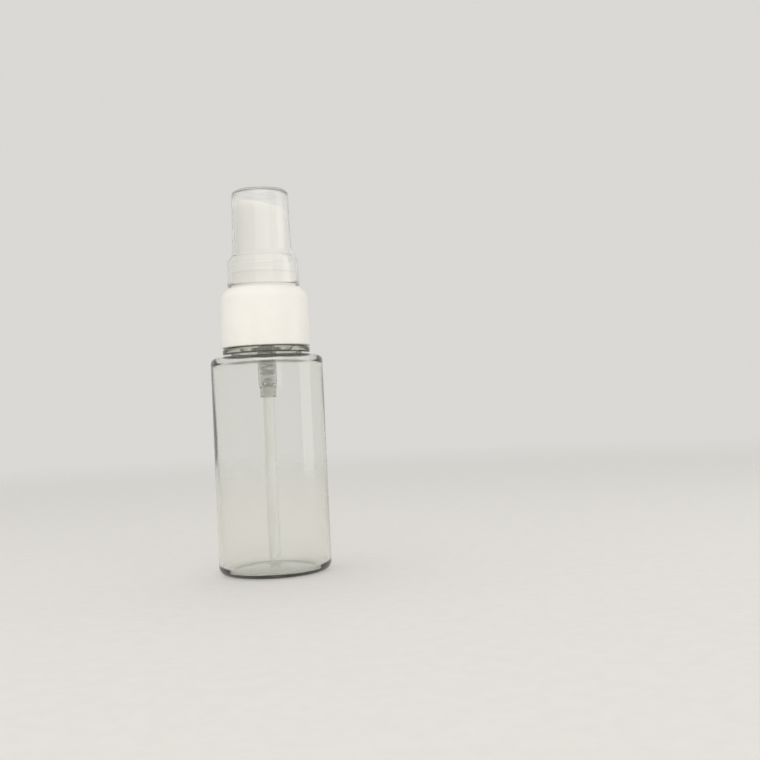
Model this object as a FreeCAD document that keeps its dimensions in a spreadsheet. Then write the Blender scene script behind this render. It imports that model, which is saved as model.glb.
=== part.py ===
import FreeCAD, Part
import Sketcher
import PartDesign
import math
import os

# Pump bottle of 30 ml: clear cylinder, screw collar, stroke pump with swivelling
# button, dip tube and press-on clear cap.  Millimetres, +Z up, axis on Z, the bottle
# stands on z = 0 and the nozzle looks along +X.

doc = FreeCAD.newDocument("pump_bottle")
sheet = doc.addObject("Spreadsheet::Sheet", "dims")

SIZES = [
    # bottle
    ("bottle_r", 15.0), ("bottle_wall", 0.8), ("base_fillet", 2.0), ("push_up", 1.4),
    ("rest_in_r", 10.8), ("shoulder_z", 57.6), ("shoulder_fillet", 1.7),
    ("shoulder_wall", 1.0), ("base_wall", 1.0), ("neck_r", 9.0), ("neck_bore_r", 7.2),
    ("neck_top_z", 71.2), ("ring_r", 11.7), ("ring_z", 58.25), ("ring_thick", 1.5),
    ("thread_pitch", 3.18), ("thread_turns", 1.5),
    ("thread_start_z", 63.9), ("thread_crest_r", 9.9),
    # screw collar
    ("collar_base_z", 60.1), ("collar_base_r", 11.9), ("collar_top_r", 11.65),
    ("collar_round", 3.8), ("collar_round_z", 72.6), ("collar_bore_r", 10.15),
    ("collar_plate_z", 74.62), ("collar_hole_r", 8.75), ("collar_crest_r", 9.25),
    # gasket, housing, turret
    ("gasket_z", 71.23), ("gasket_thick", 1.0), ("flange_r", 9.2), ("flange_thick", 1.0),
    ("chamber_r", 3.6), ("chamber_wall", 0.8), ("spring_bore_r", 2.0), ("barrel_r", 2.6),
    ("housing_end_z", 46.6), ("socket_r", 1.5), ("socket_top_z", 49.3),
    ("inlet_r", 0.8), ("seat_z", 49.6), ("ball_room_r", 1.6), ("lip_z", 52.25),
    ("lip_r", 1.0), ("ledge_z", 52.75), ("step_z", 60.0),
    ("turret_r", 8.6), ("turret_bore_r", 7.3), ("turret_top_z", 82.4),
    ("turret_floor_z", 74.4), ("guide_r", 2.0), ("guide_low_z", 72.05),
    # moving pieces of the pump
    ("ball_r", 1.25), ("ball_z", 50.6),
    ("wire_r", 0.23), ("coil_r", 1.62), ("coil_pitch", 1.56),
    ("stem_r", 1.9), ("stem_bore_r", 0.9), ("stem_low_z", 67.4), ("stem_top_z", 90.2),
    ("stop_r", 2.6), ("stop_z", 71.35), ("stop_thick", 0.65), ("port_r", 0.45),
    ("plug_r", 2.7), ("plug_z", 66.4), ("plug_thick", 0.98),
    ("piston_r", 3.56), ("piston_in_r", 1.95), ("piston_z", 67.42), ("piston_top_z", 70.5),
    # button
    ("button_low_r", 7.0), ("button_top_r", 6.65), ("button_low_z", 79.8),
    ("button_wall", 1.0), ("button_ceiling_z", 95.2), ("boss_r", 3.3),
    ("nozzle_z", 93.1), ("nozzle_r", 1.7), ("channel_r", 0.6),
    ("dish_back_z", 101.4), ("dish_front_z", 97.3), ("dish_mid_z", 97.75),
    # overcap
    ("cap_rim_z", 76.55), ("cap_rim_r", 9.65), ("cap_skirt_r", 9.5), ("cap_skirt_z", 82.7),
    ("cap_neck_r", 8.0), ("cap_neck_z", 86.6), ("cap_top_r", 7.62), ("cap_top_z", 102.4),
    ("cap_corner", 1.1), ("cap_wall", 0.65), ("cap_roof", 0.9),
    # dip tube
    ("tube_r", 1.48), ("tube_bore_r", 1.0), ("tube_low_z", 2.9), ("tube_top_z", 49.2),
]

for row, (name, value) in enumerate(SIZES, start=1):
    sheet.set("A%d" % row, name)
    sheet.set("B%d" % row, "%.4f" % value)
    sheet.setAlias("B%d" % row, name)
doc.recompute()


class Dim(object):
    """A number of the sheet together with the expression that yields it."""

    def __init__(self, value, text):
        self.value = float(value)
        self.text = text

    def __add__(self, other):
        other = as_dim(other)
        return Dim(self.value + other.value, "(%s + %s)" % (self.text, other.text))

    def __sub__(self, other):
        other = as_dim(other)
        return Dim(self.value - other.value, "(%s - %s)" % (self.text, other.text))

    def __mul__(self, other):
        other = as_dim(other)
        return Dim(self.value * other.value, "(%s * %s)" % (self.text, other.text))

    def __neg__(self):
        return Dim(-self.value, "(0 - %s)" % self.text)


def as_dim(number):
    if isinstance(number, Dim):
        return number
    return Dim(number, "%.6f" % number if number >= 0 else "(0 - %.6f)" % -number)


S = {name: Dim(value, "dims." + name) for name, value in SIZES}
V = FreeCAD.Vector


def plane_of(body, role):
    for item in body.Origin.OriginFeatures:
        if item.Role == role:
            return item
    raise RuntimeError("no plane " + role)


def new_sketch(body, name, role="XZ_Plane"):
    sketch = body.newObject("Sketcher::SketchObject", name)
    sketch.AttachmentSupport = [(plane_of(body, role), "")]
    sketch.MapMode = "FlatFace"
    return sketch


def bind(sketch, index, dim, name):
    sketch.renameConstraint(index, name)
    if "dims." in dim.text:
        sketch.setExpression("Constraints." + name, dim.text)


def pin_point(sketch, geo, pos, x, y, name):
    """Hold one sketch point at sheet-driven coordinates."""
    x, y = as_dim(x), as_dim(y)
    if abs(x.value) < 1e-9:
        sketch.addConstraint(Sketcher.Constraint("PointOnObject", geo, pos, -2))
    else:
        bind(sketch, sketch.addConstraint(
            Sketcher.Constraint("DistanceX", -1, 1, geo, pos, x.value)), x, name + "_x")
    if abs(y.value) < 1e-9:
        sketch.addConstraint(Sketcher.Constraint("PointOnObject", geo, pos, -1))
    else:
        bind(sketch, sketch.addConstraint(
            Sketcher.Constraint("DistanceY", -1, 1, geo, pos, y.value)), y, name + "_y")


def outline(sketch, points):
    """Closed outline.  A point is (x, y) or (x, y, radius): the radius belongs to the
    arc that runs from this point to the next one; positive bulges to the right of
    the way walked, negative to the left."""
    count = len(points)
    for i in range(count):
        a, b = points[i], points[(i + 1) % count]
        ax, ay = as_dim(a[0]).value, as_dim(a[1]).value
        bx, by = as_dim(b[0]).value, as_dim(b[1]).value
        if len(a) == 3:
            radius = as_dim(a[2]).value
            chord = math.hypot(bx - ax, by - ay)
            sag = abs(radius) - math.sqrt(radius * radius - chord * chord / 4.0)
            sag = sag if radius > 0 else -sag
            nx, ny = (by - ay) / chord, -(bx - ax) / chord
            mid = V((ax + bx) / 2.0 + nx * sag, (ay + by) / 2.0 + ny * sag, 0)
            sketch.addGeometry(Part.Arc(V(ax, ay, 0), mid, V(bx, by, 0)), False)
        else:
            sketch.addGeometry(Part.LineSegment(V(ax, ay, 0), V(bx, by, 0)), False)

    def end_near(geo, x, y):
        for pos in (1, 2):
            p = sketch.getPoint(geo, pos)
            if math.hypot(p.x - x, p.y - y) < 1e-6:
                return pos
        raise RuntimeError("loose end in " + sketch.Name)

    for i in range(count):
        j = (i + 1) % count
        x, y = as_dim(points[j][0]).value, as_dim(points[j][1]).value
        sketch.addConstraint(Sketcher.Constraint(
            "Coincident", i, end_near(i, x, y), j, end_near(j, x, y)))
    for i in range(count):
        x, y = points[i][0], points[i][1]
        pin_point(sketch, i, end_near(i, as_dim(x).value, as_dim(y).value), x, y, "p%d" % i)
    for i in range(count):
        if len(points[i]) == 3:
            radius = as_dim(points[i][2])
            if radius.value < 0:
                radius = -radius
            index = sketch.addConstraint(Sketcher.Constraint("Radius", i, radius.value))
            bind(sketch, index, radius, "r%d" % i)


def new_body(label):
    body = doc.addObject("PartDesign::Body", label)
    body.Label = label
    body.Placement = FreeCAD.Placement(V(0, 0, 0), FreeCAD.Rotation())
    return body


def revolve(body, name, points, kind="PartDesign::Revolution"):
    sketch = new_sketch(body, name + "_outline")
    outline(sketch, points)
    feature = body.newObject(kind, name)
    feature.Profile = sketch
    feature.ReferenceAxis = (sketch, ["V_Axis"])
    feature.Angle = 360.0
    doc.recompute()
    return feature


def helix(body, name, points, pitch, height):
    sketch = new_sketch(body, name + "_outline")
    outline(sketch, points)
    feature = body.newObject("PartDesign::AdditiveHelix", name)
    feature.Profile = sketch
    feature.ReferenceAxis = (sketch, ["V_Axis"])
    feature.Mode = 0
    feature.Pitch = pitch.value
    feature.Height = height.value
    feature.Turns = height.value / pitch.value
    feature.Angle = 0.0
    feature.LeftHanded = False
    feature.Reversed = False
    feature.setExpression("Pitch", pitch.text)
    feature.setExpression("Height", height.text)
    doc.recompute()
    return feature


def circle_sketch(body, name, role, x, y, radius):
    sketch = new_sketch(body, name, role)
    xd, yd, rd = as_dim(x), as_dim(y), as_dim(radius)
    sketch.addGeometry(Part.Circle(V(xd.value, yd.value, 0), V(0, 0, 1), rd.value), False)
    pin_point(sketch, 0, 3, xd, yd, "centre")
    bind(sketch, sketch.addConstraint(Sketcher.Constraint("Radius", 0, rd.value)), rd, "radius")
    return sketch


def pad(body, name, sketch, length, kind="PartDesign::Pad", both=False, reverse=False):
    before = body.Shape.Volume if body.Shape and not body.Shape.isNull() else 0.0
    feature = body.newObject(kind, name)
    feature.Profile = sketch
    length = as_dim(length)
    feature.Length = length.value
    if "dims." in length.text:
        feature.setExpression("Length", length.text)
    if both:
        feature.Midplane = True
    feature.Reversed = reverse
    doc.recompute()
    after = feature.Shape.Volume
    if abs(after - before) < 1e-6:
        raise RuntimeError("feature %s changed nothing" % name)
    return feature


def edges_at(feature, test):
    names = []
    for i, edge in enumerate(feature.Shape.Edges, start=1):
        if test(edge):
            names.append("Edge%d" % i)
    return names


def fillet(body, name, base, test, radius):
    names = edges_at(base, test)
    if not names:
        raise RuntimeError("no edge for " + name)
    feature = body.newObject("PartDesign::Fillet", name)
    feature.Base = (base, names)
    feature.Radius = radius
    doc.recompute()
    return feature


# ---------------------------------------------------------------- bottle
bottle = new_body("bottle")
bottle_in = S["bottle_r"] - S["bottle_wall"]
under = S["shoulder_z"] - S["shoulder_wall"]
dome_out = Dim((10.8 ** 2 + 1.4 ** 2) / 2.8,
               "((dims.rest_in_r * dims.rest_in_r + dims.push_up * dims.push_up) / (2 * dims.push_up))")
floor_z = S["push_up"] + S["base_wall"]
dome_in = Dim((10.4 ** 2 + 1.1 ** 2) / 2.2,
              "(((dims.rest_in_r - 0.4) * (dims.rest_in_r - 0.4) + (dims.push_up - 0.3) * "
              "(dims.push_up - 0.3)) / (2 * (dims.push_up - 0.3)))")
revolve(bottle, "bottle_turned", [
    (0, S["push_up"], -dome_out),
    (S["rest_in_r"], 0),
    (S["bottle_r"] - S["base_fillet"], 0, S["base_fillet"]),
    (S["bottle_r"], S["base_fillet"]),
    (S["bottle_r"], S["shoulder_z"] - S["shoulder_fillet"], S["shoulder_fillet"]),
    (S["bottle_r"] - S["shoulder_fillet"], S["shoulder_z"]),
    (S["neck_r"] + 1.0, S["shoulder_z"], -0.5),
    (S["neck_r"] + 0.5, S["shoulder_z"] + 0.5),
    (S["neck_r"] + 0.5, S["ring_z"]),
    (S["ring_r"] - 0.4, S["ring_z"], 0.4),
    (S["ring_r"], S["ring_z"] + 0.4),
    (S["ring_r"], S["ring_z"] + S["ring_thick"] - 0.4, 0.4),
    (S["ring_r"] - 0.4, S["ring_z"] + S["ring_thick"]),
    (S["neck_r"] + 0.2, S["ring_z"] + S["ring_thick"], -0.2),
    (S["neck_r"], S["ring_z"] + S["ring_thick"] + 0.2),
    (S["neck_r"], S["neck_top_z"] - 0.35, 0.35),
    (S["neck_r"] - 0.35, S["neck_top_z"]),
    (S["neck_bore_r"] + 0.25, S["neck_top_z"], 0.25),
    (S["neck_bore_r"], S["neck_top_z"] - 0.25),
    (S["neck_bore_r"], under + 1.2, 1.2),
    (S["neck_bore_r"] + 1.2, under),
    (bottle_in - 1.5, under, -1.5),
    (bottle_in, under - 1.5),
    (bottle_in, S["base_wall"] + 1.6, -1.4),
    (bottle_in - 1.4, S["base_wall"] + 0.2),
    (S["rest_in_r"] - 0.4, S["base_wall"] + 0.3, dome_in),
    (0, floor_z),
])
thread_z = S["thread_start_z"]
helix(bottle, "bottle_thread", [
    (S["neck_r"] - 0.12, thread_z - 1.14),
    (S["thread_crest_r"], thread_z - 0.5),
    (S["thread_crest_r"], thread_z + 0.5),
    (S["neck_r"] - 0.12, thread_z + 1.14),
], S["thread_pitch"], S["thread_pitch"] * S["thread_turns"])

# ---------------------------------------------------------------- screw collar
collar = new_body("screw_collar")
collar_centre = S["collar_top_r"] - S["collar_round"]
collar_lip_r = 9.0
collar_lip_z = Dim(72.6 + math.sqrt(3.8 ** 2 - (collar_lip_r - 7.85) ** 2),
                   "(dims.collar_round_z + sqrt(dims.collar_round * dims.collar_round - "
                   "(9 - dims.collar_top_r + dims.collar_round) * (9 - dims.collar_top_r + dims.collar_round)))")
revolve(collar, "collar_turned", [
    (S["collar_bore_r"] + 0.4, S["collar_base_z"]),
    (S["collar_base_r"] - 0.3, S["collar_base_z"], 0.3),
    (S["collar_base_r"], S["collar_base_z"] + 0.3),
    (S["collar_top_r"], S["collar_round_z"], S["collar_round"]),
    (collar_lip_r, collar_lip_z),
    (S["collar_hole_r"] + 0.15, collar_lip_z),
    (S["collar_hole_r"], collar_lip_z - 0.2),
    (S["collar_hole_r"], S["collar_plate_z"]),
    (S["collar_bore_r"] - 0.6, S["collar_plate_z"], -0.6),
    (S["collar_bore_r"], S["collar_plate_z"] - 0.6),
    (S["collar_bore_r"], S["collar_base_z"] + 0.6),
])
mate_z = S["thread_start_z"] - S["thread_pitch"] * 0.5
helix(collar, "collar_thread", [
    (S["collar_bore_r"] + 0.12, mate_z - 0.98),
    (S["collar_bore_r"] + 0.12, mate_z + 0.98),
    (S["collar_crest_r"], mate_z + 0.42),
    (S["collar_crest_r"], mate_z - 0.42),
], S["thread_pitch"], S["thread_pitch"] * S["thread_turns"])

# ---------------------------------------------------------------- neck gasket
gasket = new_body("neck_gasket")
gasket_top = S["gasket_z"] + S["gasket_thick"]
chamber_out = S["chamber_r"] + S["chamber_wall"]
revolve(gasket, "gasket_turned", [
    (chamber_out + 0.25, S["gasket_z"]),
    (S["flange_r"] - 0.1, S["gasket_z"]),
    (S["flange_r"] - 0.1, gasket_top),
    (chamber_out + 0.25, gasket_top),
])

# ---------------------------------------------------------------- pump housing
housing = new_body("pump_housing")
flange_z = gasket_top + 0.02
flange_top = flange_z + S["flange_thick"]
revolve(housing, "housing_turned", [
    (S["socket_r"] + 0.15, S["housing_end_z"]),
    (S["barrel_r"] - 0.5, S["housing_end_z"]),
    (S["barrel_r"] - 0.35, S["housing_end_z"] + 2.6),
    (S["barrel_r"], S["housing_end_z"] + 3.6),
    (S["barrel_r"], S["step_z"] - 0.4, -0.5),
    (S["barrel_r"] + 0.5, S["step_z"] + 0.1),
    (chamber_out - 0.5, S["step_z"] + 0.1, 0.5),
    (chamber_out, S["step_z"] + 0.6),
    (chamber_out, flange_z),
    (S["flange_r"] - 0.2, flange_z, 0.2),
    (S["flange_r"], flange_z + 0.2),
    (S["flange_r"], flange_top - 0.2, 0.2),
    (S["flange_r"] - 0.2, flange_top),
    (S["chamber_r"] + 0.3, flange_top),
    (S["chamber_r"], flange_top - 0.3),
    (S["chamber_r"], S["step_z"] + 1.5),
    (S["spring_bore_r"] + 0.5, S["step_z"] + 0.95),
    (S["spring_bore_r"], S["step_z"] + 0.4),
    (S["spring_bore_r"], S["ledge_z"]),
    (S["lip_r"] + 0.25, S["ledge_z"]),
    (S["lip_r"], S["ledge_z"] - 0.25),
    (S["lip_r"], S["lip_z"]),
    (S["ball_room_r"], S["lip_z"]),
    (S["ball_room_r"], S["seat_z"] + S["ball_room_r"] - S["inlet_r"]),
    (S["inlet_r"], S["seat_z"]),
    (S["inlet_r"], S["socket_top_z"]),
    (S["socket_r"], S["socket_top_z"]),
    (S["socket_r"], S["housing_end_z"] + 0.25),
])
# vent hole through the chamber wall, under the flange
vent = circle_sketch(housing, "vent_outline", "YZ_Plane", 0, S["gasket_z"] - 1.6, 0.35)
pad(housing, "vent_hole", vent, 6.0, "PartDesign::Pocket", reverse=True)

# ---------------------------------------------------------------- guide turret
turret = new_body("guide_turret")
turret_z = flange_top + 0.02
turret_flange_top = S["collar_plate_z"] - 0.06
revolve(turret, "turret_turned", [
    (S["guide_r"] + 0.15, S["guide_low_z"]),
    (S["chamber_r"] - 0.35, S["guide_low_z"]),
    (S["chamber_r"] - 0.04, S["guide_low_z"] + 0.35),
    (S["chamber_r"] - 0.04, flange_top - 0.26),
    (S["chamber_r"] + 0.3, turret_z),
    (S["flange_r"], turret_z),
    (S["flange_r"], turret_flange_top),
    (S["turret_r"], turret_flange_top),
    (S["turret_r"], 79.6, 0.9),
    (S["turret_r"], 80.6),
    (S["turret_r"], S["turret_top_z"] - 0.45, 0.45),
    (S["turret_r"] - 0.45, S["turret_top_z"]),
    (S["turret_bore_r"] + 0.3, S["turret_top_z"], 0.3),
    (S["turret_bore_r"], S["turret_top_z"] - 0.3),
    (S["turret_bore_r"], S["turret_floor_z"] + 0.5, -0.5),
    (S["turret_bore_r"] - 0.5, S["turret_floor_z"]),
    (S["guide_r"] + 1.5, S["turret_floor_z"], -0.4),
    (S["guide_r"] + 1.1, S["turret_floor_z"] + 0.4),
    (S["guide_r"] + 1.0, S["turret_floor_z"] + 1.6),
    (S["guide_r"] + 0.2, S["turret_floor_z"] + 1.6),
    (S["guide_r"], S["turret_floor_z"] + 1.4),
    (S["guide_r"], S["guide_low_z"] + 0.15),
])

# ---------------------------------------------------------------- inlet ball
ball = doc.addObject("Part::Sphere", "inlet_ball")
ball.Label = "inlet_ball"
ball.Radius = S["ball_r"].value
ball.setExpression("Radius", S["ball_r"].text)
ball.Placement = FreeCAD.Placement(V(0, 0, S["ball_z"].value), FreeCAD.Rotation())
ball.setExpression("Placement.Base.z", S["ball_z"].text)
doc.recompute()

# ---------------------------------------------------------------- return spring
# round wire swept along a smooth coil, with its sizes read from the sheet
wire_r = float(sheet.get("wire_r"))
coil_r = float(sheet.get("coil_r"))
coil_pitch = float(sheet.get("coil_pitch"))
wire_low = float(sheet.get("ledge_z")) + wire_r + 0.02
wire_high = float(sheet.get("plug_z")) - wire_r - 0.02
halves = int(round(2.0 * (wire_high - wire_low) / coil_pitch))
rise = (wire_high - wire_low) / halves
arcs = []
for k in range(halves):
    # one half turn; the arcs meet level, so the coil is smooth
    side = 1.0 if k % 2 == 0 else -1.0
    arcs.append(Part.Arc(V(side * coil_r, 0, rise * k), V(0, side * coil_r, rise * (k + 0.5)),
                         V(-side * coil_r, 0, rise * (k + 1))).toShape())
ring = Part.Wire([Part.makeCircle(wire_r, V(coil_r, 0, 0), V(0, 1, 0))])
spring = doc.addObject("Part::Feature", "main_spring")
spring.Label = "main_spring"
spring.Shape = Part.Wire(arcs).makePipeShell([ring], True, False)
spring.Placement = FreeCAD.Placement(V(0, 0, wire_low), FreeCAD.Rotation())
doc.recompute()

# ---------------------------------------------------------------- stem
stem = new_body("stem")
stem_body = revolve(stem, "stem_turned", [
    (S["stem_bore_r"], S["stem_low_z"]),
    (S["stem_r"], S["stem_low_z"]),
    (S["stem_r"], S["stop_z"]),
    (S["stop_r"], S["stop_z"]),
    (S["stop_r"], S["stop_z"] + S["stop_thick"] - 0.2),
    (S["stop_r"] - 0.2, S["stop_z"] + S["stop_thick"]),
    (S["stem_r"], S["stop_z"] + S["stop_thick"]),
    (S["stem_r"], S["stem_top_z"] - 0.4),
    (S["stem_r"] - 0.3, S["stem_top_z"]),
    (S["stem_bore_r"], S["stem_top_z"]),
])
port = circle_sketch(stem, "port_outline", "YZ_Plane", 0, S["stem_low_z"] + 1.6, S["port_r"])
pad(stem, "cross_port", port, 8.0, "PartDesign::Pocket", both=True)

# ---------------------------------------------------------------- piston seat
plug = new_body("piston_seat")
plug_top = S["plug_z"] + S["plug_thick"]
revolve(plug, "plug_turned", [
    (0, S["plug_z"] - 1.8),
    (0.75, S["plug_z"] - 1.8),
    (1.15, S["plug_z"] - 1.2),
    (1.15, S["plug_z"]),
    (S["plug_r"], S["plug_z"]),
    (S["plug_r"], plug_top - 0.35),
    (S["plug_r"] - 0.35, plug_top),
    (S["stem_bore_r"] - 0.02, plug_top),
    (S["stem_bore_r"] - 0.02, plug_top + 0.8),
    (S["stem_bore_r"] - 0.2, plug_top + 1.0),
    (0, plug_top + 1.0),
])

# ---------------------------------------------------------------- piston
piston = new_body("piston")
revolve(piston, "piston_turned", [
    (S["piston_in_r"] + 0.35, S["piston_z"]),
    (S["piston_in_r"] + 0.75, S["piston_z"]),
    (S["piston_in_r"] + 0.75, S["piston_z"] + 1.2),
    (S["piston_r"] - 0.45, S["piston_z"] + 1.0),
    (S["piston_r"] - 0.25, S["piston_z"] + 0.25),
    (S["piston_r"], S["piston_z"] + 0.15),
    (S["piston_r"], S["piston_z"] + 0.5),
    (S["piston_r"] - 0.12, S["piston_z"] + 0.8),
    (S["piston_r"] - 0.12, S["piston_top_z"] - 0.8),
    (S["piston_r"], S["piston_top_z"] - 0.5),
    (S["piston_r"], S["piston_top_z"] - 0.15),
    (S["piston_r"] - 0.25, S["piston_top_z"] - 0.25),
    (S["piston_r"] - 0.45, S["piston_top_z"] - 1.0),
    (S["piston_in_r"] + 0.75, S["piston_top_z"] - 1.2),
    (S["piston_in_r"] + 0.75, S["piston_top_z"]),
    (S["piston_in_r"], S["piston_top_z"]),
    (S["piston_in_r"], S["piston_z"] + 0.5),
])

# ---------------------------------------------------------------- button
button = new_body("actuator")
socket_r = S["stem_r"] + 0.05
top_in = S["button_ceiling_z"]
revolve(button, "button_turned", [
    (socket_r, 83.4),
    (S["boss_r"] - 0.3, 83.4),
    (S["boss_r"], 83.7),
    (S["boss_r"], top_in),
    (S["button_top_r"] - S["button_wall"], top_in),
    (S["button_low_r"] - S["button_wall"] + 0.05, S["button_low_z"] + 0.2),
    (S["button_low_r"] - 0.55, S["button_low_z"]),
    (S["button_low_r"] - 0.2, S["button_low_z"], 0.2),
    (S["button_low_r"], S["button_low_z"] + 0.2),
    (S["button_low_r"], 85.0),
    (S["button_top_r"], 102.0),
    (0, 102.0),
    (0, S["nozzle_z"] + 0.6),
    (S["channel_r"], S["nozzle_z"] + 0.6),
    (S["channel_r"], S["stem_top_z"] + 0.35),
    (socket_r, S["stem_top_z"] + 0.35),
])
# bridge from the boss to the front wall, which carries the channel
bridge = circle_sketch(button, "bridge_outline", "YZ_Plane", 0, S["nozzle_z"], S["nozzle_r"] + 0.8)
pad(button, "bridge", bridge, S["button_top_r"] - 0.3)
revolve(button, "riser", [
    (0, S["stem_top_z"] + 0.2),
    (S["channel_r"], S["stem_top_z"] + 0.2),
    (S["channel_r"], S["nozzle_z"]),
    (0, S["nozzle_z"]),
], "PartDesign::Groove")
channel = circle_sketch(button, "channel_outline", "YZ_Plane", 0, S["nozzle_z"], S["channel_r"])
pad(button, "channel", channel, S["button_low_r"] + 1.0, "PartDesign::Pocket", reverse=True)
# pocket for the nozzle: everything in front of its seat
seat = new_sketch(button, "nozzle_seat_outline", "XZ_Plane")
outline(seat, [
    (S["button_top_r"] - 2.3, S["nozzle_z"] - S["nozzle_r"]),
    (S["button_low_r"] + 0.6, S["nozzle_z"] - S["nozzle_r"]),
    (S["button_low_r"] + 0.6, S["nozzle_z"]),
    (S["button_top_r"] - 2.3, S["nozzle_z"]),
])
bore = button.newObject("PartDesign::Groove", "nozzle_seat")
bore.Profile = seat
bore.ReferenceAxis = (seat, ["Edge3"])
bore.Angle = 360.0
doc.recompute()
# slanted, hollowed finger rest
dish = new_sketch(button, "dish_outline", "XZ_Plane")
dish_r = 36.0
outline(dish, [
    (-8.0, S["dish_back_z"] + 0.35, dish_r),
    (8.0, S["dish_front_z"]),
    (8.0, 104.0),
    (-8.0, 104.0),
])
cut = pad(button, "dish", dish, 20.0, "PartDesign::Pocket", both=True)
rim_z = 96.0


def on_button_rim(edge):
    box = edge.BoundBox
    reach = max(abs(box.XMin), abs(box.XMax), abs(box.YMin), abs(box.YMax))
    return box.ZMin > rim_z and reach > 6.0


fillet(button, "dish_rim", cut, on_button_rim, 2.0)

# ---------------------------------------------------------------- nozzle insert
nozzle = new_body("nozzle_insert")
nozzle_front = S["button_top_r"] + 0.08
nozzle_back = S["button_top_r"] - 2.25
slim = S["nozzle_r"] - 0.03
face = new_sketch(nozzle, "nozzle_outline", "XZ_Plane")
outline(face, [
    (nozzle_back, S["nozzle_z"] + 0.75),
    (nozzle_back, S["nozzle_z"] + slim),
    (nozzle_front - 0.3, S["nozzle_z"] + slim),
    (nozzle_front, S["nozzle_z"] + slim - 0.3),
    (nozzle_front, S["nozzle_z"] + 0.62),
    (nozzle_front - 0.4, S["nozzle_z"] + 0.22),
    (nozzle_front - 1.0, S["nozzle_z"] + 0.22),
    (nozzle_front - 1.0, S["nozzle_z"] + 0.75),
])
mid = face.addGeometry(Part.LineSegment(V(nozzle_back.value, 93.1, 0), V(nozzle_front.value, 93.1, 0)), True)
pin_point(face, mid, 1, nozzle_back, S["nozzle_z"], "axis_a")
pin_point(face, mid, 2, nozzle_front, S["nozzle_z"], "axis_b")
turn = nozzle.newObject("PartDesign::Revolution", "nozzle_turned")
turn.Profile = face
turn.ReferenceAxis = (face, ["Axis0"])
turn.Angle = 360.0
doc.recompute()

# ---------------------------------------------------------------- overcap
cap = new_body("overcap")
cap_in_top = S["cap_top_r"] - S["cap_wall"]
cap_in_neck = S["cap_neck_r"] - S["cap_wall"]
cap_in_skirt = S["cap_skirt_r"] - S["cap_wall"]
# the flare is an S of two equal arcs, with the same wall all the way
wide = S["cap_skirt_r"] - S["cap_neck_r"]
tall = S["cap_neck_z"] - S["cap_skirt_z"]
flare_r = Dim((wide.value ** 2 + tall.value ** 2) / (4.0 * wide.value),
              "((%s * %s + %s * %s) / (4 * %s))" % (wide.text, wide.text, tall.text, tall.text, wide.text))
flare_big = flare_r + S["cap_wall"]
flare_small = flare_r - S["cap_wall"]
lean = flare_small.value / (2.0 * flare_r.value)
lean = Dim(lean, "(%s / (2 * %s))" % (flare_small.text, flare_r.text))
low_centre_r = S["cap_skirt_r"] - flare_r
high_centre_r = S["cap_neck_r"] + flare_r
mid_in_r = low_centre_r + (high_centre_r - low_centre_r) * lean
mid_in_z = S["cap_skirt_z"] + tall * lean
revolve(cap, "cap_turned", [
    (0, S["cap_top_z"] - S["cap_roof"]),
    (cap_in_top - 0.8, S["cap_top_z"] - S["cap_roof"], -0.8),
    (cap_in_top, S["cap_top_z"] - S["cap_roof"] - 0.8),
    (cap_in_neck, S["cap_neck_z"], flare_big),
    (mid_in_r, mid_in_z, -flare_small),
    (cap_in_skirt, S["cap_skirt_z"]),
    (cap_in_skirt, S["cap_rim_z"] + 0.4),
    (cap_in_skirt + 0.2, S["cap_rim_z"]),
    (S["cap_rim_r"] - 0.2, S["cap_rim_z"], 0.2),
    (S["cap_rim_r"], S["cap_rim_z"] + 0.2),
    (S["cap_skirt_r"], S["cap_skirt_z"], flare_r),
    ((S["cap_skirt_r"] + S["cap_neck_r"]) * 0.5, (S["cap_skirt_z"] + S["cap_neck_z"]) * 0.5, -flare_r),
    (S["cap_neck_r"], S["cap_neck_z"]),
    (S["cap_top_r"], S["cap_top_z"] - S["cap_corner"], S["cap_corner"]),
    (S["cap_top_r"] - S["cap_corner"], S["cap_top_z"]),
    (0, S["cap_top_z"]),
])

# ---------------------------------------------------------------- dip tube
tube = new_body("dip_tube")
revolve(tube, "tube_turned", [
    (S["tube_bore_r"], S["tube_low_z"]),
    (S["tube_r"], S["tube_low_z"]),
    (S["tube_r"], S["tube_top_z"]),
    (S["tube_bore_r"], S["tube_top_z"]),
])
# slanted lower end, so that the tube never seals itself against the base
slant = new_sketch(tube, "slant_outline", "XZ_Plane")
outline(slant, [
    (-2.2, S["tube_low_z"] - 1.0),
    (2.2, S["tube_low_z"] - 1.0),
    (2.2, S["tube_low_z"] + 2.2),
    (-1.3, S["tube_low_z"]),
    (-2.2, S["tube_low_z"]),
])
pad(tube, "slant", slant, 6.0, "PartDesign::Pocket", both=True)

# ---------------------------------------------------------------- write the pieces
doc.recompute()
PIECES = [bottle, collar, gasket, housing, turret, tube, ball, spring, stem, plug, piston,
          button, nozzle, cap]

for item in doc.Objects:
    state = list(item.State)
    if "Invalid" in state or "Error" in state:
        raise RuntimeError("%s is in state %s" % (item.Name, state))

os.makedirs("parts", exist_ok=True)
for piece in PIECES:
    shape = piece.Shape
    if shape.isNull() or not shape.isValid() or len(shape.Solids) != 1:
        raise RuntimeError("%s has no single valid solid" % piece.Label)
    print("%-14s volume %9.3f" % (piece.Label, shape.Volume))
    shape.exportStep("parts/%s.step" % piece.Label)
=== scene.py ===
import bpy
import math
from mathutils import Matrix, Vector, noise


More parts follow.
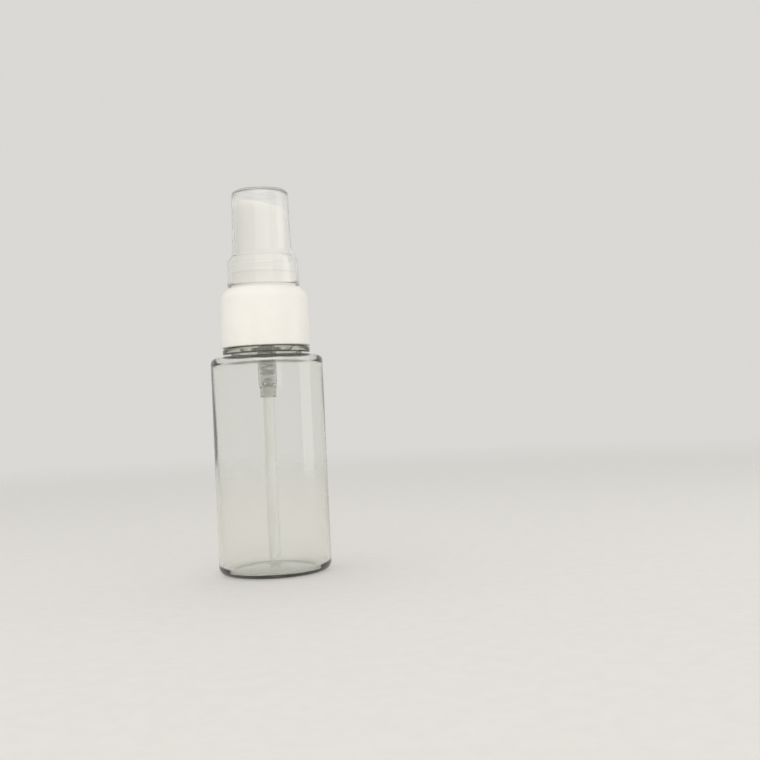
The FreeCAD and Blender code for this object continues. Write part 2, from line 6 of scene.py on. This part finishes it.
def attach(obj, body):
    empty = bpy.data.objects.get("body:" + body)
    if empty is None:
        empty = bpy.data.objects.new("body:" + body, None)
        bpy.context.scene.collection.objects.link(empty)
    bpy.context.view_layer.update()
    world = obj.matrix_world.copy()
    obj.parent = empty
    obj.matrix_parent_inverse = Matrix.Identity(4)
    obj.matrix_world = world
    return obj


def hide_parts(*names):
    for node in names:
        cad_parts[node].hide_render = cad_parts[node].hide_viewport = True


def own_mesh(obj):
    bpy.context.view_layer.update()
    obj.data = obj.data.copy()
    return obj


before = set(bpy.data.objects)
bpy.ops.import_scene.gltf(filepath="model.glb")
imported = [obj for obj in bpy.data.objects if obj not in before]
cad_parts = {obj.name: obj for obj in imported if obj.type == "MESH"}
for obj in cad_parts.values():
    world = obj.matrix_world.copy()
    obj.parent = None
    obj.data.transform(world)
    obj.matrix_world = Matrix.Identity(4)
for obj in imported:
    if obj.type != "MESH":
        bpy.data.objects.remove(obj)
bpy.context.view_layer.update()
scene = bpy.context.scene
MM = 0.001
TAU = 2.0 * math.pi


# ------------------------------------------------------------------ mesh helpers
def trace(points, arc_step=0.16, line_step=None):
    """Outline in mm.  A point is (r, z) or (r, z, radius): the radius belongs to the arc
    from this point to the next; positive bulges to the right of the way walked."""
    out = []
    count = len(points)
    for i in range(count):
        a = points[i]
        b = points[(i + 1) % count]
        out.append((a[0], a[1]))
        if i == count - 1 and a[0] == 0.0 and points[0][0] == 0.0:
            break
        chord = math.hypot(b[0] - a[0], b[1] - a[1])
        if len(a) == 3:
            rad = a[2]
            half = math.asin(min(1.0, chord / (2.0 * abs(rad))))
            n = max(3, int(math.ceil(2.0 * half * abs(rad) / arc_step)), int(half / 0.07))
            nx, ny = (b[1] - a[1]) / chord, -(b[0] - a[0]) / chord
            side = 1.0 if rad > 0 else -1.0
            depth = abs(rad) * math.cos(half)
            cx = (a[0] + b[0]) / 2.0 - side * nx * depth
            cy = (a[1] + b[1]) / 2.0 - side * ny * depth
            a0 = math.atan2(a[1] - cy, a[0] - cx)
            a1 = math.atan2(b[1] - cy, b[0] - cx)
            turn = (a1 - a0 + math.pi) % TAU - math.pi
            for k in range(1, n):
                t = a0 + turn * k / n
                out.append((cx + abs(rad) * math.cos(t), cy + abs(rad) * math.sin(t)))
        elif line_step:
            n = int(chord / line_step)
            for k in range(1, n):
                f = k / n
                out.append((a[0] + (b[0] - a[0]) * f, a[1] + (b[1] - a[1]) * f))
    return out


def finish_mesh(name, verts, faces, sharp=38.0):
    mesh = bpy.data.meshes.new(name)
    mesh.from_pydata(verts, [], faces)
    mesh.update()
    volume = 0.0
    for p in mesh.polygons:
        vs = [mesh.vertices[i].co for i in p.vertices]
        for k in range(1, len(vs) - 1):
            volume += vs[0].dot(vs[k].cross(vs[k + 1]))
    if volume < 0:
        mesh.flip_normals()
    mesh.shade_smooth()
    mesh.set_sharp_from_angle(angle=math.radians(sharp))
    obj = bpy.data.objects.new(name, mesh)
    scene.collection.objects.link(obj)
    return obj


def lathe(name, prof, seg=160, warp=None, sharp=38.0):
    """Turns an outline about Z.  warp(r, z, angle, index) may move a ring's points."""
    closed = not (prof[0][0] == 0.0 and prof[-1][0] == 0.0)
    verts, rings = [], []
    for i, (r, z) in enumerate(prof):
        if r == 0.0:
            rr, zz = (0.0, z) if warp is None else warp(0.0, z, 0.0, i)
            rings.append([len(verts)])
            verts.append((0.0, 0.0, zz * MM))
            continue
        ring = []
        for j in range(seg):
            t = TAU * j / seg
            rr, zz = (r, z) if warp is None else warp(r, z, t, i)
            ring.append(len(verts))
            verts.append((rr * math.cos(t) * MM, rr * math.sin(t) * MM, zz * MM))
        rings.append(ring)
    faces = []
    last = len(rings) if closed else len(rings) - 1
    for i in range(last):
        a, b = rings[i], rings[(i + 1) % len(rings)]
        for j in range(seg):
            k = (j + 1) % seg
            if len(a) == 1 and len(b) == 1:
                continue
            if len(a) == 1:
                faces.append((a[0], b[j], b[k]))
            elif len(b) == 1:
                faces.append((a[j], b[0], a[k]))
            else:
                faces.append((a[j], b[j], b[k], a[k]))
    return finish_mesh(name, verts, faces, sharp)


def smooth01(x):
    x = max(0.0, min(1.0, x))
    return x * x * (3.0 - 2.0 * x)


def thread_height(z, angle, start, pitch, turns, height, root, crest):
    """Height of a right-hand thread ridge over its wall, tapering in at both ends."""
    best = 0.0
    for k in range(-1, 4):
        phi = angle + TAU * k
        if phi < 0.0 or phi > TAU * turns:
            continue
        fade = smooth01(phi / 0.45) * smooth01((TAU * turns - phi) / 0.45)
        d = abs(z - (start + pitch * phi / TAU))
        if d < root:
            f = 1.0 if d < crest else (root - d) / (root - crest)
            best = max(best, height * fade * smooth01(f * 0.5 + 0.0) * 2.0 if f < 1.0 else height * fade)
    return best


# ------------------------------------------------------------------ material helpers
def new_material(name):
    mat = bpy.data.materials.new(name)
    mat.use_nodes = True
    nt = mat.node_tree
    nt.nodes.clear()
    out = nt.nodes.new("ShaderNodeOutputMaterial")
    bsdf = nt.nodes.new("ShaderNodeBsdfPrincipled")
    nt.links.new(bsdf.outputs["BSDF"], out.inputs["Surface"])
    return mat, nt, bsdf, out


def noise_node(nt, scale, detail=3.0, rough=0.55, stretch=(1, 1, 1), distortion=0.0):
    coord = nt.nodes.new("ShaderNodeTexCoord")
    mapping = nt.nodes.new("ShaderNodeMapping")
    mapping.inputs["Scale"].default_value = stretch
    nt.links.new(coord.outputs["Object"], mapping.inputs["Vector"])
    tex = nt.nodes.new("ShaderNodeTexNoise")
    tex.inputs["Scale"].default_value = scale
    tex.inputs["Detail"].default_value = detail
    tex.inputs["Roughness"].default_value = rough
    tex.inputs["Distortion"].default_value = distortion
    nt.links.new(mapping.outputs["Vector"], tex.inputs["Vector"])
    return tex


def ramp_colour(nt, fac, low, high, p0=0.35, p1=0.65):
    ramp = nt.nodes.new("ShaderNodeValToRGB")
    ramp.color_ramp.elements[0].position = p0
    ramp.color_ramp.elements[1].position = p1
    ramp.color_ramp.elements[0].color = (*low, 1.0)
    ramp.color_ramp.elements[1].color = (*high, 1.0)
    nt.links.new(fac, ramp.inputs["Fac"])
    return ramp.outputs["Color"]


def ramp_value(nt, fac, low, high, p0=0.3, p1=0.7):
    node = nt.nodes.new("ShaderNodeMapRange")
    node.inputs["From Min"].default_value = p0
    node.inputs["From Max"].default_value = p1
    node.inputs["To Min"].default_value = low
    node.inputs["To Max"].default_value = high
    nt.links.new(fac, node.inputs["Value"])
    return node.outputs["Result"]


def bump(nt, height, strength, distance, below=None):
    node = nt.nodes.new("ShaderNodeBump")
    node.inputs["Strength"].default_value = strength
    node.inputs["Distance"].default_value = distance
    nt.links.new(height, node.inputs["Height"])
    if below is not None:
        nt.links.new(below, node.inputs["Normal"])
    return node.outputs["Normal"]


def clear_plastic(name, tint_a, tint_b, ior, rough_a, rough_b, absorb, density, haze=0.0):
    mat, nt, bsdf, out = new_material(name)
    bsdf.inputs["Transmission Weight"].default_value = 1.0 - haze
    bsdf.inputs["IOR"].default_value = ior
    soft = noise_node(nt, 90.0, 2.0, 0.5, (1, 1, 0.35))
    nt.links.new(ramp_colour(nt, soft.outputs["Fac"], tint_a, tint_b), bsdf.inputs["Base Color"])
    fine = noise_node(nt, 900.0, 4.0, 0.6, (1, 1, 0.25))
    nt.links.new(ramp_value(nt, fine.outputs["Fac"], rough_a, rough_b), bsdf.inputs["Roughness"])
    nt.links.new(bump(nt, soft.outputs["Fac"], 0.25, 0.00006), bsdf.inputs["Normal"])
    vol = nt.nodes.new("ShaderNodeVolumeAbsorption")
    vol.inputs["Color"].default_value = (*absorb, 1.0)
    vol.inputs["Density"].default_value = density
    nt.links.new(vol.outputs["Volume"], out.inputs["Volume"])
    return mat


def moulded_plastic(name, low, high, rough_a, rough_b, grain=2600.0, grain_depth=0.000004, sss=0.06):
    mat, nt, bsdf, out = new_material(name)
    cloud = noise_node(nt, 140.0, 3.0, 0.55)
    nt.links.new(ramp_colour(nt, cloud.outputs["Fac"], low, high), bsdf.inputs["Base Color"])
    fine = noise_node(nt, grain, 4.0, 0.6)
    nt.links.new(ramp_value(nt, fine.outputs["Fac"], rough_a, rough_b), bsdf.inputs["Roughness"])
    nt.links.new(bump(nt, fine.outputs["Fac"], 0.35, grain_depth), bsdf.inputs["Normal"])
    bsdf.inputs["IOR"].default_value = 1.49
    bsdf.inputs["Subsurface Weight"].default_value = sss
    bsdf.inputs["Subsurface Radius"].default_value = (0.0012, 0.0011, 0.0009)
    bsdf.inputs["Subsurface Scale"].default_value = 1.0
    return mat


def milky_plastic(name, low, high, transmission, rough_a, rough_b, ior=1.5):
    mat, nt, bsdf, out = new_material(name)
    cloud = noise_node(nt, 220.0, 3.0, 0.55, (1, 1, 0.4))
    nt.links.new(ramp_colour(nt, cloud.outputs["Fac"], low, high), bsdf.inputs["Base Color"])
    fine = noise_node(nt, 1500.0, 4.0, 0.6, (1, 1, 0.15))
    nt.links.new(ramp_value(nt, fine.outputs["Fac"], rough_a, rough_b), bsdf.inputs["Roughness"])
    nt.links.new(bump(nt, fine.outputs["Fac"], 0.15, 0.000003), bsdf.inputs["Normal"])
    bsdf.inputs["Transmission Weight"].default_value = transmission
    bsdf.inputs["IOR"].default_value = ior
    return mat


def steel(name, low, high, rough_a, rough_b, stretch=(1, 1, 1)):
    mat, nt, bsdf, out = new_material(name)
    draw = noise_node(nt, 2200.0, 4.0, 0.6, stretch)
    nt.links.new(ramp_colour(nt, draw.outputs["Fac"], low, high), bsdf.inputs["Base Color"])
    nt.links.new(ramp_value(nt, draw.outputs["Fac"], rough_a, rough_b), bsdf.inputs["Roughness"])
    nt.links.new(bump(nt, draw.outputs["Fac"], 0.25, 0.000004), bsdf.inputs["Normal"])
    bsdf.inputs["Metallic"].default_value = 1.0
    return mat


CLEAR_PETG = clear_plastic("clear_petg", (0.990, 0.992, 0.985), (0.998, 0.999, 0.996), 1.57, 0.010, 0.035,
                           (0.42, 0.44, 0.20), 76.0, 0.015)
CLEAR_PP = clear_plastic("clear_cap", (0.985, 0.986, 0.978), (0.997, 0.997, 0.994), 1.49, 0.03, 0.08,
                         (0.60, 0.62, 0.54), 20.0, 0.13)
WHITE_PP = moulded_plastic("white_pp", (0.835, 0.818, 0.772), (0.862, 0.847, 0.803), 0.30, 0.44)
# painted light: the actuator and turret white is set lighter than the collar's white to stand in for light lost
# through the clear overcap
WHITE_HEAD_PAINTED_LIGHT = moulded_plastic("white_head_painted_light", (0.915, 0.900, 0.856), (0.938, 0.924, 0.882), 0.28, 0.42)
WHITE_POM = moulded_plastic("white_pom", (0.84, 0.832, 0.80), (0.87, 0.862, 0.83), 0.24, 0.36)
SOFT_PE = moulded_plastic("soft_pe", (0.79, 0.79, 0.765), (0.85, 0.85, 0.825), 0.55, 0.75, 1400.0, 0.00003, 0.1)
NATURAL_PP = milky_plastic("natural_pp", (0.70, 0.70, 0.655), (0.78, 0.782, 0.74), 0.89, 0.08, 0.17)
NATURAL_PE = milky_plastic("natural_pe", (0.90, 0.905, 0.875), (0.94, 0.945, 0.92), 0.14, 0.28, 0.44, 1.51)
STEEL_WIRE = steel("stainless_wire", (0.40, 0.395, 0.38), (0.58, 0.575, 0.56), 0.20, 0.38, (1, 1, 3))
STEEL_BALL = steel("stainless_ball", (0.52, 0.515, 0.50), (0.62, 0.615, 0.60), 0.06, 0.16)


def give(obj, mat):
    obj.data.materials.clear()
    obj.data.materials.append(mat)


def give_node(node, mat):
    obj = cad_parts[node]
    for s in obj.material_slots:
        s.link = "OBJECT"
        s.material = mat


def place(obj, body, mat, slot, *nodes):
    give(obj, mat)
    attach(obj, body)
    if nodes:
        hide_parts(*nodes)
    return obj


# ------------------------------------------------------------------ bottle
PITCH, START, TURNS = 3.18, 63.9, 1.5
dome = (10.8 ** 2 + 1.4 ** 2) / 2.8
dome_at = lambda r: 1.4 - dome + math.sqrt(dome * dome - r * r)
BOTTLE = [
    # gate mark of the preform in the middle of the push-up, then the push-up and the heel
    (0.0, 1.02), (0.9, 1.02, 0.22), (1.12, 1.24), (1.5, dome_at(1.5), -dome), (10.8, 0.0),
    (13.0, 0.0, 2.0), (15.0, 2.0),
    (15.0, 55.9, 1.7), (13.3, 57.6), (10.0, 57.6, -0.5), (9.5, 58.1), (9.5, 58.25),
    (11.3, 58.25, 0.4), (11.7, 58.65), (11.7, 59.35, 0.4), (11.3, 59.75),
    (9.2, 59.75, -0.2), (9.0, 59.95),
    (9.0, 70.85, 0.35), (8.65, 71.2), (7.45, 71.2, 0.25), (7.2, 70.95),
    (7.2, 57.8, 1.2), (8.4, 56.6), (12.7, 56.6, -1.5), (14.2, 55.1),
    (14.2, 2.6, -1.4), (12.8, 1.2), (10.4, 1.3, (10.4 ** 2 + 1.1 ** 2) / 2.2), (0.0, 2.4),
]


def bottle_warp(r, z, t, i):
    if r == 0.0:
        return r, z
    if 8.95 <= r <= 9.05 and 61.5 < z < 70.9:
        return r + thread_height(z, t, START, PITCH, TURNS, 0.9, 1.08, 0.5), z
    if 10.0 < r < 14.25 and 3.0 < z < 56.3:
        # blow-moulded inner skin: the wall is never quite even
        p = Vector((math.cos(t) * 1.15, math.sin(t) * 1.15, z * 0.018))
        q = Vector((math.cos(t) * 2.6, math.sin(t) * 2.6, z * 0.05 + 7.0))
        fade = smooth01((z - 3.0) / 4.0) * smooth01((56.3 - z) / 3.0)
        return r + fade * (0.15 * noise.noise(p) + 0.05 * noise.noise(q)) * (r / 14.2), z
    if r > 14.0 and z > 1.0:
        # parting line of the two mould halves, a hair proud of the wall
        off = min(abs(math.sin(t)) * r, 1.0)
        return r + 0.02 * (1.0 - smooth01(off / 0.45)), z
    return r, z


bottle = lathe("bottle_shell", trace(BOTTLE, 0.16, 0.5), 192, bottle_warp)
place(bottle, "bottle", CLEAR_PETG, "clear_petg", "bottle")

# ------------------------------------------------------------------ screw collar
COLLAR = [
    (10.55, 60.1), (11.6, 60.1, 0.3), (11.9, 60.4), (11.65, 72.6, 3.8), (9.0, 76.222),
    (8.9, 76.222), (8.75, 76.02), (8.75, 74.62), (9.55, 74.62, -0.6), (10.15, 74.02),
    (10.15, 60.7),
]


def collar_warp(r, z, t, i):
    if 10.1 <= r <= 10.2 and 60.8 < z < 73.9:
        return r - thread_height(z, t, START - PITCH / 2.0, PITCH, TURNS, 0.9, 0.92, 0.42), z
    return r, z


collar = lathe("collar_shell", trace(COLLAR, 0.2, 0.3), 192, collar_warp)
place(collar, "collar", WHITE_PP, "white_pp", "screw_collar")

# ------------------------------------------------------------------ overcap
CAP = [
    (0.0, 101.5), (6.17, 101.5, -0.8), (6.97, 100.7), (7.35, 86.6, 3.56), (8.2675, 84.2144, -2.26),
    (8.85, 82.7), (8.85, 76.95), (9.05, 76.55), (9.45, 76.55, 0.2), (9.65, 76.75), (9.5, 82.7, 2.91),
    (8.75, 84.65, -2.91), (8.0, 86.6), (7.62, 101.3, 1.1), (6.52, 102.4),
    # sunk gate mark in the middle of the roof
    (1.25, 102.4), (1.05, 102.24), (0.4, 102.24), (0.34, 102.32), (0.0, 102.32),
]
cap = lathe("cap_shell", trace(CAP, 0.14, 0.8), 192)
place(cap, "cap", CLEAR_PP, "clear_pp", "overcap")

# ------------------------------------------------------------------ return spring
def spring_mesh(name, low, high, coil_r, wire_r, active, seg=56, ring=12):
    """Compression spring with a closed coil at each end and tapering pitch."""
    turns = active + 2.0
    steps = int(turns * seg)
    shut = 2.0 * wire_r * 1.06
    span = (high - low) - 2.0 * wire_r
    rise = []
    for k in range(steps + 1):
        u = turns * k / steps
        w = smooth01((u - 0.75) / 0.5) * smooth01((turns - u - 0.75) / 0.5)
        rise.append(w)
    free = span - shut * turns
    total = sum(rise)
    verts, faces, z = [], [], low + wire_r
    for k in range(steps + 1):
        t = TAU * k / seg
        c, s = math.cos(t), math.sin(t)
        slope = math.atan2(shut / TAU, coil_r)
        for j in range(ring):
            a = TAU * j / ring
            dr, dz = wire_r * math.cos(a), wire_r * math.sin(a)
            verts.append(((coil_r + dr) * c * MM, (coil_r + dr) * s * MM, (z + dz) * MM))
        z += shut / seg + free * rise[k] / total
    for k in range(steps):
        for j in range(ring):
            n = (j + 1) % ring
            faces.append((k * ring + j, k * ring + n, (k + 1) * ring + n, (k + 1) * ring + j))
    faces.append(tuple(reversed(range(ring))))
    faces.append(tuple(steps * ring + j for j in range(ring)))
    return finish_mesh(name, verts, faces, 60.0)


spring = spring_mesh("return_spring", 52.77, 66.38, 1.62, 0.23, 7.2)
place(spring, "pump_body", STEEL_WIRE, "stainless", "main_spring")
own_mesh(spring)

# ------------------------------------------------------------------ dip tube
TUBE = [
    (1.0, 2.9), (1.06, 2.9), (1.42, 2.9), (1.48, 2.96), (1.48, 49.14), (1.42, 49.2), (1.06, 49.2), (1.0, 49.14),
]


def tube_warp(r, z, t, i):
    # the lower end is cut on the slant, and the cut fades out a little way up the wall
    x = r * math.cos(t)
    lift = max(0.0, (x + 1.3) * 2.2 / 3.5)
    return r, z + lift * max(0.0, 1.0 - (z - 2.9) / 6.0)


tube = lathe("suction_tube", trace(TUBE, 0.2, 0.8), 64, tube_warp, 50.0)
place(tube, "pump_body", NATURAL_PE, "natural_pe", "dip_tube")

# ------------------------------------------------------------------ carried-over nodes
for node, mat in {
    # guide_turret and actuator take the white painted lighter to stand in for light lost through the cap
    "neck_gasket": SOFT_PE, "pump_housing": NATURAL_PP, "guide_turret": WHITE_HEAD_PAINTED_LIGHT,
    "inlet_ball": STEEL_BALL, "stem": WHITE_PP,
    "piston_seat": WHITE_POM, "piston": NATURAL_PE, "actuator": WHITE_HEAD_PAINTED_LIGHT,
    "nozzle_insert": WHITE_POM,
}.items():
    give_node(node, mat)

# clear and milky walls let the studio light through to what they hold
for obj in (bottle, cap, tube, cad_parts["pump_housing"]):
    obj.visible_shadow = False

# ------------------------------------------------------------------ floor, light, camera
WORLD = (0.70, 0.69, 0.668)
world = bpy.data.worlds.new("studio")
scene.world = world
world.use_nodes = True
wn = world.node_tree
wn.nodes.clear()
w_out = wn.nodes.new("ShaderNodeOutputWorld")
w_bg = wn.nodes.new("ShaderNodeBackground")
w_bg.inputs["Color"].default_value = (*WORLD, 1.0)
w_bg.inputs["Strength"].default_value = 1.0
wn.links.new(w_bg.outputs["Background"], w_out.inputs["Surface"])

bpy.ops.mesh.primitive_circle_add(vertices=96, radius=1.4, fill_type="NGON", location=(0, 0, -0.0002))
floor = bpy.context.active_object
floor.name = "floor"
fmat, fnt, fbsdf, fout = new_material("floor_paper")
fcoord = fnt.nodes.new("ShaderNodeTexCoord")
flen = fnt.nodes.new("ShaderNodeVectorMath")
flen.operation = "LENGTH"
fnt.links.new(fcoord.outputs["Object"], flen.inputs[0])
ffade = fnt.nodes.new("ShaderNodeMapRange")
ffade.interpolation_type = "SMOOTHSTEP"
ffade.inputs["From Min"].default_value = 0.12
ffade.inputs["From Max"].default_value = 0.75
ffade.inputs["To Min"].default_value = 1.0
ffade.inputs["To Max"].default_value = 0.0
fnt.links.new(flen.outputs["Value"], ffade.inputs["Value"])
fnt.links.new(ffade.outputs["Result"], fbsdf.inputs["Alpha"])
fgrain = noise_node(fnt, 260.0, 3.0, 0.6)
fnt.links.new(ramp_colour(fnt, fgrain.outputs["Fac"], (0.735, 0.725, 0.70), (0.755, 0.745, 0.72)),
              fbsdf.inputs["Base Color"])
fbsdf.inputs["Roughness"].default_value = 0.8
floor.data.materials.append(fmat)


def area(name, place_at, aim, size, power, colour=(1, 1, 1), size_y=None):
    data = bpy.data.lights.new(name, "AREA")
    data.energy = power
    data.color = colour
    data.shape = "RECTANGLE" if size_y else "SQUARE"
    data.size = size
    if size_y:
        data.size_y = size_y
    obj = bpy.data.objects.new(name, data)
    scene.collection.objects.link(obj)
    obj.location = place_at
    obj.rotation_euler = (Vector(aim) - Vector(place_at)).to_track_quat("-Z", "Y").to_euler()
    obj.visible_camera = False
    obj.visible_transmission = False
    return obj


area("key", (0.05, -0.66, 0.42), (0, 0, 0.05), 0.8, 1.75, (1.0, 0.985, 0.955))
area("side", (0.42, -0.06, 0.14), (0, 0, 0.055), 0.22, 0.30, (1.0, 1.0, 0.985), 0.40)
fill = area("fill", (-0.42, -0.34, 0.20), (0, 0, 0.07), 0.4, 0.55, (1.0, 0.985, 0.955))
fill.visible_glossy = False
area("top", (-0.05, 0.15, 0.65), (0, 0, 0.06), 0.5, 0.5, (1.0, 0.99, 0.97))

cam_data = bpy.data.cameras.new("camera")
cam_data.sensor_width = 36.0
cam_data.lens = 36.0 * 1000.0 / 760.0
cam_data.clip_start = 0.01
cam = bpy.data.objects.new("camera", cam_data)
scene.collection.objects.link(cam)
right = Vector((0.99282489, -0.11023964, -0.04632459))
up = Vector((0.04322325, -0.03035937, 0.99860406))
ahead = Vector((0.11149214, 0.99344126, 0.02537662))
turn = Matrix((right, up, -ahead)).transposed().to_4x4()
cam.matrix_world = Matrix.Translation((0.0, -0.27138694, 0.043)) @ turn
scene.camera = cam

scene.view_settings.view_transform = "Standard"
scene.view_settings.look = "None"
scene.view_settings.exposure = 0.0
